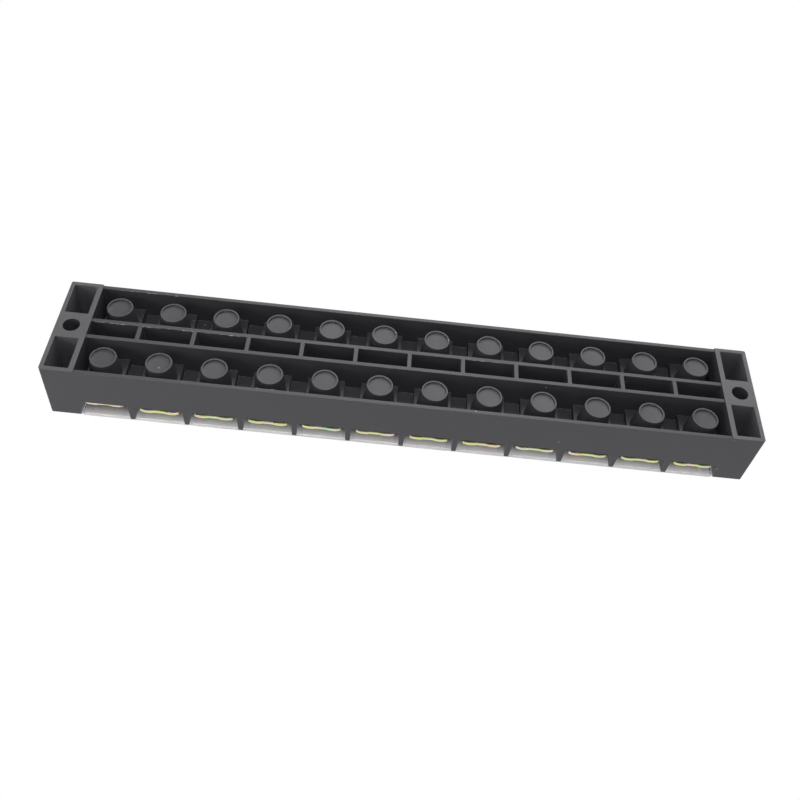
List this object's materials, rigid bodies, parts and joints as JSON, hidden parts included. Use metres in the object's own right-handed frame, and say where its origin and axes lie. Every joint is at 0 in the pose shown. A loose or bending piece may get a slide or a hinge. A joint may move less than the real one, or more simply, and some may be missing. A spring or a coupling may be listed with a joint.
{
  "type": "barrier terminal strip",
  "caption": "Long black dual-row barrier terminal strip with screw clamps, contact bars, clear push-on cover and a mounting hole in each end block.",
  "frame": {"origin": "centre of the mounting plane, midway between the two mounting holes", "axes": "+X along the row of poles, +Z away from the mounting surface, terminals facing up"},
  "size_m": [0.1692, 0.0286, 0.017],
  "materials": {
    "black_plastic": "satin black moulded thermoplastic",
    "clear_plastic": "clear moulded polycarbonate",
    "nickel_plate": "nickel-plated brass strip",
    "yellow_chromate": "zinc-plated steel with yellow iridescent chromate"
  },
  "bodies": {
    "housing": {"base": "black_plastic", "contact_bars": "nickel_plate"},
    "cover": {"cover": "clear_plastic"},
    "clamp_a01": {"clamp_a01": "yellow_chromate"},
    "screw_a01": {"screw_a01": "yellow_chromate"},
    "clamp_a02": {"clamp_a02": "yellow_chromate"},
    "screw_a02": {"screw_a02": "yellow_chromate"},
    "clamp_a03": {"clamp_a03": "yellow_chromate"},
    "screw_a03": {"screw_a03": "yellow_chromate"},
    "clamp_a04": {"clamp_a04": "yellow_chromate"},
    "screw_a04": {"screw_a04": "yellow_chromate"},
    "clamp_a05": {"clamp_a05": "yellow_chromate"},
    "screw_a05": {"screw_a05": "yellow_chromate"},
    "clamp_a06": {"clamp_a06": "yellow_chromate"},
    "screw_a06": {"screw_a06": "yellow_chromate"},
    "clamp_a07": {"clamp_a07": "yellow_chromate"},
    "screw_a07": {"screw_a07": "yellow_chromate"},
    "clamp_a08": {"clamp_a08": "yellow_chromate"},
    "screw_a08": {"screw_a08": "yellow_chromate"},
    "clamp_a09": {"clamp_a09": "yellow_chromate"},
    "screw_a09": {"screw_a09": "yellow_chromate"},
    "clamp_a10": {"clamp_a10": "yellow_chromate"},
    "screw_a10": {"screw_a10": "yellow_chromate"},
    "clamp_a11": {"clamp_a11": "yellow_chromate"},
    "screw_a11": {"screw_a11": "yellow_chromate"},
    "clamp_a12": {"clamp_a12": "yellow_chromate"},
    "screw_a12": {"screw_a12": "yellow_chromate"},
    "clamp_b01": {"clamp_b01": "yellow_chromate"},
    "screw_b01": {"screw_b01": "yellow_chromate"},
    "clamp_b02": {"clamp_b02": "yellow_chromate"},
    "screw_b02": {"screw_b02": "yellow_chromate"},
    "clamp_b03": {"clamp_b03": "yellow_chromate"},
    "screw_b03": {"screw_b03": "yellow_chromate"},
    "clamp_b04": {"clamp_b04": "yellow_chromate"},
    "screw_b04": {"screw_b04": "yellow_chromate"},
    "clamp_b05": {"clamp_b05": "yellow_chromate"},
    "screw_b05": {"screw_b05": "yellow_chromate"},
    "clamp_b06": {"clamp_b06": "yellow_chromate"},
    "screw_b06": {"screw_b06": "yellow_chromate"},
    "clamp_b07": {"clamp_b07": "yellow_chromate"},
    "screw_b07": {"screw_b07": "yellow_chromate"},
    "clamp_b08": {"clamp_b08": "yellow_chromate"},
    "screw_b08": {"screw_b08": "yellow_chromate"},
    "clamp_b09": {"clamp_b09": "yellow_chromate"},
    "screw_b09": {"screw_b09": "yellow_chromate"},
    "clamp_b10": {"clamp_b10": "yellow_chromate"},
    "screw_b10": {"screw_b10": "yellow_chromate"},
    "clamp_b11": {"clamp_b11": "yellow_chromate"},
    "screw_b11": {"screw_b11": "yellow_chromate"},
    "clamp_b12": {"clamp_b12": "yellow_chromate"},
    "screw_b12": {"screw_b12": "yellow_chromate"}
  },
  "joints": [
    {"name": "cover_lift", "type": "slide", "parent": "housing", "child": "cover", "axis": [0, 0, 1], "range_m": [0, 0.012]},
    {"name": "clamp_a01_lift", "type": "slide", "parent": "housing", "child": "clamp_a01", "axis": [0, 0, 1], "range_m": [0, 0.00129]},
    {"name": "screw_a01_turn", "type": "hinge", "parent": "clamp_a01", "child": "screw_a01", "pos_m": [-0.0715, 0.00815, 0.0135], "axis": [0, 0, 1], "range_deg": [0, 666.05]},
    {"name": "clamp_a02_lift", "type": "slide", "parent": "housing", "child": "clamp_a02", "axis": [0, 0, 1], "range_m": [-0.00105, 0.00024]},
    {"name": "screw_a02_turn", "type": "hinge", "parent": "clamp_a02", "child": "screw_a02", "pos_m": [-0.0585, 0.00815, 0.0135], "axis": [0, 0, 1], "range_deg": [-540.05, 126.05]},
    {"name": "clamp_a03_lift", "type": "slide", "parent": "housing", "child": "clamp_a03", "axis": [0, 0, 1], "range_m": [-0.00102, 0.00028]},
    {"name": "screw_a03_turn", "type": "hinge", "parent": "clamp_a03", "child": "screw_a03", "pos_m": [-0.0455, 0.00815, 0.0135], "axis": [0, 0, 1], "range_deg": [-522.05, 144.05]},
    {"name": "clamp_a04_lift", "type": "slide", "parent": "housing", "child": "clamp_a04", "axis": [0, 0, 1], "range_m": [-0.00105, 0.00024]},
    {"name": "screw_a04_turn", "type": "hinge", "parent": "clamp_a04", "child": "screw_a04", "pos_m": [-0.0325, 0.00815, 0.0135], "axis": [0, 0, 1], "range_deg": [-540.05, 126.05]},
    {"name": "clamp_a05_lift", "type": "slide", "parent": "housing", "child": "clamp_a05", "axis": [0, 0, 1], "range_m": [-0.00098, 0.00032]},
    {"name": "screw_a05_turn", "type": "hinge", "parent": "clamp_a05", "child": "screw_a05", "pos_m": [-0.0195, 0.00815, 0.0135], "axis": [0, 0, 1], "range_deg": [-504.05, 162.05]},
    {"name": "clamp_a06_lift", "type": "slide", "parent": "housing", "child": "clamp_a06", "axis": [0, 0, 1], "range_m": [-0.00091, 0.00038]},
    {"name": "screw_a06_turn", "type": "hinge", "parent": "clamp_a06", "child": "screw_a06", "pos_m": [-0.0065, 0.00815, 0.0135], "axis": [0, 0, 1], "range_deg": [-468.05, 198.05]},
    {"name": "clamp_a07_lift", "type": "slide", "parent": "housing", "child": "clamp_a07", "axis": [0, 0, 1], "range_m": [-0.00098, 0.00032]},
    {"name": "screw_a07_turn", "type": "hinge", "parent": "clamp_a07", "child": "screw_a07", "pos_m": [0.0065, 0.00815, 0.0135], "axis": [0, 0, 1], "range_deg": [-504.05, 162.05]},
    {"name": "clamp_a08_lift", "type": "slide", "parent": "housing", "child": "clamp_a08", "axis": [0, 0, 1], "range_m": [-0.00112, 0.00017]},
    {"name": "screw_a08_turn", "type": "hinge", "parent": "clamp_a08", "child": "screw_a08", "pos_m": [0.0195, 0.00815, 0.0135], "axis": [0, 0, 1], "range_deg": [-576.05, 90.05]},
    {"name": "clamp_a09_lift", "type": "slide", "parent": "housing", "child": "clamp_a09", "axis": [0, 0, 1], "range_m": [-0.00094, 0.00035]},
    {"name": "screw_a09_turn", "type": "hinge", "parent": "clamp_a09", "child": "screw_a09", "pos_m": [0.0325, 0.00815, 0.0135], "axis": [0, 0, 1], "range_deg": [-486.05, 180.05]},
    {"name": "clamp_a10_lift", "type": "slide", "parent": "housing", "child": "clamp_a10", "axis": [0, 0, 1], "range_m": [-0.00102, 0.00028]},
    {"name": "screw_a10_turn", "type": "hinge", "parent": "clamp_a10", "child": "screw_a10", "pos_m": [0.0455, 0.00815, 0.0135], "axis": [0, 0, 1], "range_deg": [-522.05, 144.05]},
    {"name": "clamp_a11_lift", "type": "slide", "parent": "housing", "child": "clamp_a11", "axis": [0, 0, 1], "range_m": [-0.00091, 0.00038]},
    {"name": "screw_a11_turn", "type": "hinge", "parent": "clamp_a11", "child": "screw_a11", "pos_m": [0.0585, 0.00815, 0.0135], "axis": [0, 0, 1], "range_deg": [-468.05, 198.05]},
    {"name": "clamp_a12_lift", "type": "slide", "parent": "housing", "child": "clamp_a12", "axis": [0, 0, 1], "range_m": [-0.00094, 0.00035]},
    {"name": "screw_a12_turn", "type": "hinge", "parent": "clamp_a12", "child": "screw_a12", "pos_m": [0.0715, 0.00815, 0.0135], "axis": [0, 0, 1], "range_deg": [-486.05, 180.05]},
    {"name": "clamp_b01_lift", "type": "slide", "parent": "housing", "child": "clamp_b01", "axis": [0, 0, 1], "range_m": [-0.00098, 0.00032]},
    {"name": "screw_b01_turn", "type": "hinge", "parent": "clamp_b01", "child": "screw_b01", "pos_m": [-0.0715, -0.00815, 0.0135], "axis": [0, 0, 1], "range_deg": [-504.05, 162.05]},
    {"name": "clamp_b02_lift", "type": "slide", "parent": "housing", "child": "clamp_b02", "axis": [0, 0, 1], "range_m": [-0.00105, 0.00024]},
    {"name": "screw_b02_turn", "type": "hinge", "parent": "clamp_b02", "child": "screw_b02", "pos_m": [-0.0585, -0.00815, 0.0135], "axis": [0, 0, 1], "range_deg": [-540.05, 126.05]},
    {"name": "clamp_b03_lift", "type": "slide", "parent": "housing", "child": "clamp_b03", "axis": [0, 0, 1], "range_m": [-0.00091, 0.00038]},
    {"name": "screw_b03_turn", "type": "hinge", "parent": "clamp_b03", "child": "screw_b03", "pos_m": [-0.0455, -0.00815, 0.0135], "axis": [0, 0, 1], "range_deg": [-468.05, 198.05]},
    {"name": "clamp_b04_lift", "type": "slide", "parent": "housing", "child": "clamp_b04", "axis": [0, 0, 1], "range_m": [-0.00102, 0.00028]},
    {"name": "screw_b04_turn", "type": "hinge", "parent": "clamp_b04", "child": "screw_b04", "pos_m": [-0.0325, -0.00815, 0.0135], "axis": [0, 0, 1], "range_deg": [-522.05, 144.05]},
    {"name": "clamp_b05_lift", "type": "slide", "parent": "housing", "child": "clamp_b05", "axis": [0, 0, 1], "range_m": [-0.00112, 0.00017]},
    {"name": "screw_b05_turn", "type": "hinge", "parent": "clamp_b05", "child": "screw_b05", "pos_m": [-0.0195, -0.00815, 0.0135], "axis": [0, 0, 1], "range_deg": [-576.05, 90.05]},
    {"name": "clamp_b06_lift", "type": "slide", "parent": "housing", "child": "clamp_b06", "axis": [0, 0, 1], "range_m": [-0.00094, 0.00035]},
    {"name": "screw_b06_turn", "type": "hinge", "parent": "clamp_b06", "child": "screw_b06", "pos_m": [-0.0065, -0.00815, 0.0135], "axis": [0, 0, 1], "range_deg": [-486.05, 180.05]},
    {"name": "clamp_b07_lift", "type": "slide", "parent": "housing", "child": "clamp_b07", "axis": [0, 0, 1], "range_m": [-0.00105, 0.00024]},
    {"name": "screw_b07_turn", "type": "hinge", "parent": "clamp_b07", "child": "screw_b07", "pos_m": [0.0065, -0.00815, 0.0135], "axis": [0, 0, 1], "range_deg": [-540.05, 126.05]},
    {"name": "clamp_b08_lift", "type": "slide", "parent": "housing", "child": "clamp_b08", "axis": [0, 0, 1], "range_m": [-0.00098, 0.00032]},
    {"name": "screw_b08_turn", "type": "hinge", "parent": "clamp_b08", "child": "screw_b08", "pos_m": [0.0195, -0.00815, 0.0135], "axis": [0, 0, 1], "range_deg": [-504.05, 162.05]},
    {"name": "clamp_b09_lift", "type": "slide", "parent": "housing", "child": "clamp_b09", "axis": [0, 0, 1], "range_m": [-0.00109, 0.00021]},
    {"name": "screw_b09_turn", "type": "hinge", "parent": "clamp_b09", "child": "screw_b09", "pos_m": [0.0325, -0.00815, 0.0135], "axis": [0, 0, 1], "range_deg": [-558.05, 108.05]},
    {"name": "clamp_b10_lift", "type": "slide", "parent": "housing", "child": "clamp_b10", "axis": [0, 0, 1], "range_m": [-0.00091, 0.00038]},
    {"name": "screw_b10_turn", "type": "hinge", "parent": "clamp_b10", "child": "screw_b10", "pos_m": [0.0455, -0.00815, 0.0135], "axis": [0, 0, 1], "range_deg": [-468.05, 198.05]},
    {"name": "clamp_b11_lift", "type": "slide", "parent": "housing", "child": "clamp_b11", "axis": [0, 0, 1], "range_m": [-0.00102, 0.00028]},
    {"name": "screw_b11_turn", "type": "hinge", "parent": "clamp_b11", "child": "screw_b11", "pos_m": [0.0585, -0.00815, 0.0135], "axis": [0, 0, 1], "range_deg": [-522.05, 144.05]},
    {"name": "clamp_b12_lift", "type": "slide", "parent": "housing", "child": "clamp_b12", "axis": [0, 0, 1], "range_m": [-0.00105, 0.00024]},
    {"name": "screw_b12_turn", "type": "hinge", "parent": "clamp_b12", "child": "screw_b12", "pos_m": [0.0715, -0.00815, 0.0135], "axis": [0, 0, 1], "range_deg": [-540.05, 126.05]}
  ],
  "couplings": [
    {"joint": "screw_a01_turn", "follows": "clamp_a01_lift", "rad_per_m": 8976},
    {"joint": "screw_a02_turn", "follows": "clamp_a02_lift", "rad_per_m": 8976},
    {"joint": "screw_a03_turn", "follows": "clamp_a03_lift", "rad_per_m": 8976},
    {"joint": "screw_a04_turn", "follows": "clamp_a04_lift", "rad_per_m": 8976},
    {"joint": "screw_a05_turn", "follows": "clamp_a05_lift", "rad_per_m": 8976},
    {"joint": "screw_a06_turn", "follows": "clamp_a06_lift", "rad_per_m": 8976},
    {"joint": "screw_a07_turn", "follows": "clamp_a07_lift", "rad_per_m": 8976},
    {"joint": "screw_a08_turn", "follows": "clamp_a08_lift", "rad_per_m": 8976},
    {"joint": "screw_a09_turn", "follows": "clamp_a09_lift", "rad_per_m": 8976},
    {"joint": "screw_a10_turn", "follows": "clamp_a10_lift", "rad_per_m": 8976},
    {"joint": "screw_a11_turn", "follows": "clamp_a11_lift", "rad_per_m": 8976},
    {"joint": "screw_a12_turn", "follows": "clamp_a12_lift", "rad_per_m": 8976},
    {"joint": "screw_b01_turn", "follows": "clamp_b01_lift", "rad_per_m": 8976},
    {"joint": "screw_b02_turn", "follows": "clamp_b02_lift", "rad_per_m": 8976},
    {"joint": "screw_b03_turn", "follows": "clamp_b03_lift", "rad_per_m": 8976},
    {"joint": "screw_b04_turn", "follows": "clamp_b04_lift", "rad_per_m": 8976},
    {"joint": "screw_b05_turn", "follows": "clamp_b05_lift", "rad_per_m": 8976},
    {"joint": "screw_b06_turn", "follows": "clamp_b06_lift", "rad_per_m": 8976},
    {"joint": "screw_b07_turn", "follows": "clamp_b07_lift", "rad_per_m": 8976},
    {"joint": "screw_b08_turn", "follows": "clamp_b08_lift", "rad_per_m": 8976},
    {"joint": "screw_b09_turn", "follows": "clamp_b09_lift", "rad_per_m": 8976},
    {"joint": "screw_b10_turn", "follows": "clamp_b10_lift", "rad_per_m": 8976},
    {"joint": "screw_b11_turn", "follows": "clamp_b11_lift", "rad_per_m": 8976},
    {"joint": "screw_b12_turn", "follows": "clamp_b12_lift", "rad_per_m": 8976}
  ]
}
